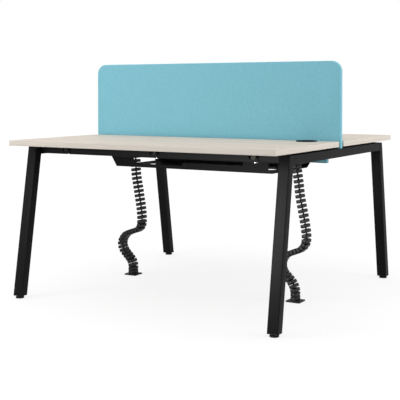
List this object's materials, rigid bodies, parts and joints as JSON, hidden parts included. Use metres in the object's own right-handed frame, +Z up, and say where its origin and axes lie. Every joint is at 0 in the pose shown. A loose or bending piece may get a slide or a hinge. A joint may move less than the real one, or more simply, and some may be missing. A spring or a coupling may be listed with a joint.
{
  "type": "benching desk for two",
  "caption": "Back-to-back benching desk on splayed steel legs, with a fabric screen between its worktops, a cable tray, cable outlets and jointed cable spines.",
  "frame": {"origin": "middle of the footprint, on the floor", "axes": "+Z up; +X along the desk to the right of the front user; +Y from the front user to the rear user"},
  "size_m": [1.4, 1.425, 1.134],
  "materials": {
    "worktop_board": "satin pale wood-grain laminate",
    "worktop_edging": "satin edge band",
    "frame_steel": "fine black powder coat",
    "bolt_zinc": "bright zinc plate",
    "screen_fabric": "woven wool-blend cloth",
    "black_plastic": "fine matt texture"
  },
  "bodies": {
    "desk": {"front_left_cleat": "frame_steel", "front_left_leg": "frame_steel", "front_left_leg_plug": "black_plastic", "front_left_packer": "black_plastic", "front_left_rail_bolt_1": "bolt_zinc", "front_left_rail_bolt_2": "bolt_zinc", "front_left_rail_plate": "frame_steel", "front_left_screen_bracket": "frame_steel", "front_middle_cleat": "frame_steel", "front_outlet_sleeve": "black_plastic", "front_rail": "frame_steel", "front_right_cleat": "frame_steel", "front_right_leg": "frame_steel", "front_right_leg_plug": "black_plastic", "front_right_packer": "black_plastic", "front_right_rail_bolt_1": "bolt_zinc", "front_right_rail_bolt_2": "bolt_zinc", "front_right_rail_plate": "frame_steel", "front_right_screen_bracket": "frame_steel", "front_worktop": "worktop_board", "front_worktop_edging": "worktop_edging", "left_cable_spine": "black_plastic", "left_end_beam": "frame_steel", "left_spine_base": "black_plastic", "left_spine_mount": "black_plastic", "rear_left_cleat": "frame_steel", "rear_left_leg": "frame_steel", "rear_left_leg_plug": "black_plastic", "rear_left_packer": "black_plastic", "rear_left_rail_bolt_1": "bolt_zinc", "rear_left_rail_bolt_2": "bolt_zinc", "rear_left_rail_plate": "frame_steel", "rear_left_screen_bracket": "frame_steel", "rear_middle_cleat": "frame_steel", "rear_outlet_sleeve": "black_plastic", "rear_rail": "frame_steel", "rear_right_cleat": "frame_steel", "rear_right_leg": "frame_steel", "rear_right_leg_plug": "black_plastic", "rear_right_packer": "black_plastic", "rear_right_rail_bolt_1": "bolt_zinc", "rear_right_rail_bolt_2": "bolt_zinc", "rear_right_rail_plate": "frame_steel", "rear_right_screen_bracket": "frame_steel", "rear_worktop": "worktop_board", "rear_worktop_edging": "worktop_edging", "right_cable_spine": "black_plastic", "right_end_beam": "frame_steel", "right_spine_base": "black_plastic", "right_spine_mount": "black_plastic", "screen": "screen_fabric", "tray_floor": "frame_steel", "tray_front_wall": "frame_steel", "tray_rear_wall": "frame_steel"},
    "front_left_foot": {"front_left_foot": "black_plastic"},
    "front_right_foot": {"front_right_foot": "black_plastic"},
    "rear_left_foot": {"rear_left_foot": "black_plastic"},
    "rear_right_foot": {"rear_right_foot": "black_plastic"},
    "front_outlet_cap": {"front_outlet_cap": "black_plastic"},
    "rear_outlet_cap": {"rear_outlet_cap": "black_plastic"}
  },
  "joints": [
    {"name": "front_left_foot_screw", "type": "slide", "parent": "desk", "child": "front_left_foot", "axis": [0, 0, 1], "range_m": [-0.015, 0]},
    {"name": "front_right_foot_screw", "type": "slide", "parent": "desk", "child": "front_right_foot", "axis": [0, 0, 1], "range_m": [-0.015, 0]},
    {"name": "rear_left_foot_screw", "type": "slide", "parent": "desk", "child": "rear_left_foot", "axis": [0, 0, 1], "range_m": [-0.015, 0]},
    {"name": "rear_right_foot_screw", "type": "slide", "parent": "desk", "child": "rear_right_foot", "axis": [0, 0, 1], "range_m": [-0.015, 0]},
    {"name": "front_outlet_cap_turn", "type": "hinge", "parent": "desk", "child": "front_outlet_cap", "pos_m": [0.562, -0.088, 0.76], "axis": [0, 0, 1], "continuous": true},
    {"name": "rear_outlet_cap_turn", "type": "hinge", "parent": "desk", "child": "rear_outlet_cap", "pos_m": [-0.562, 0.088, 0.76], "axis": [0, 0, 1], "continuous": true}
  ]
}
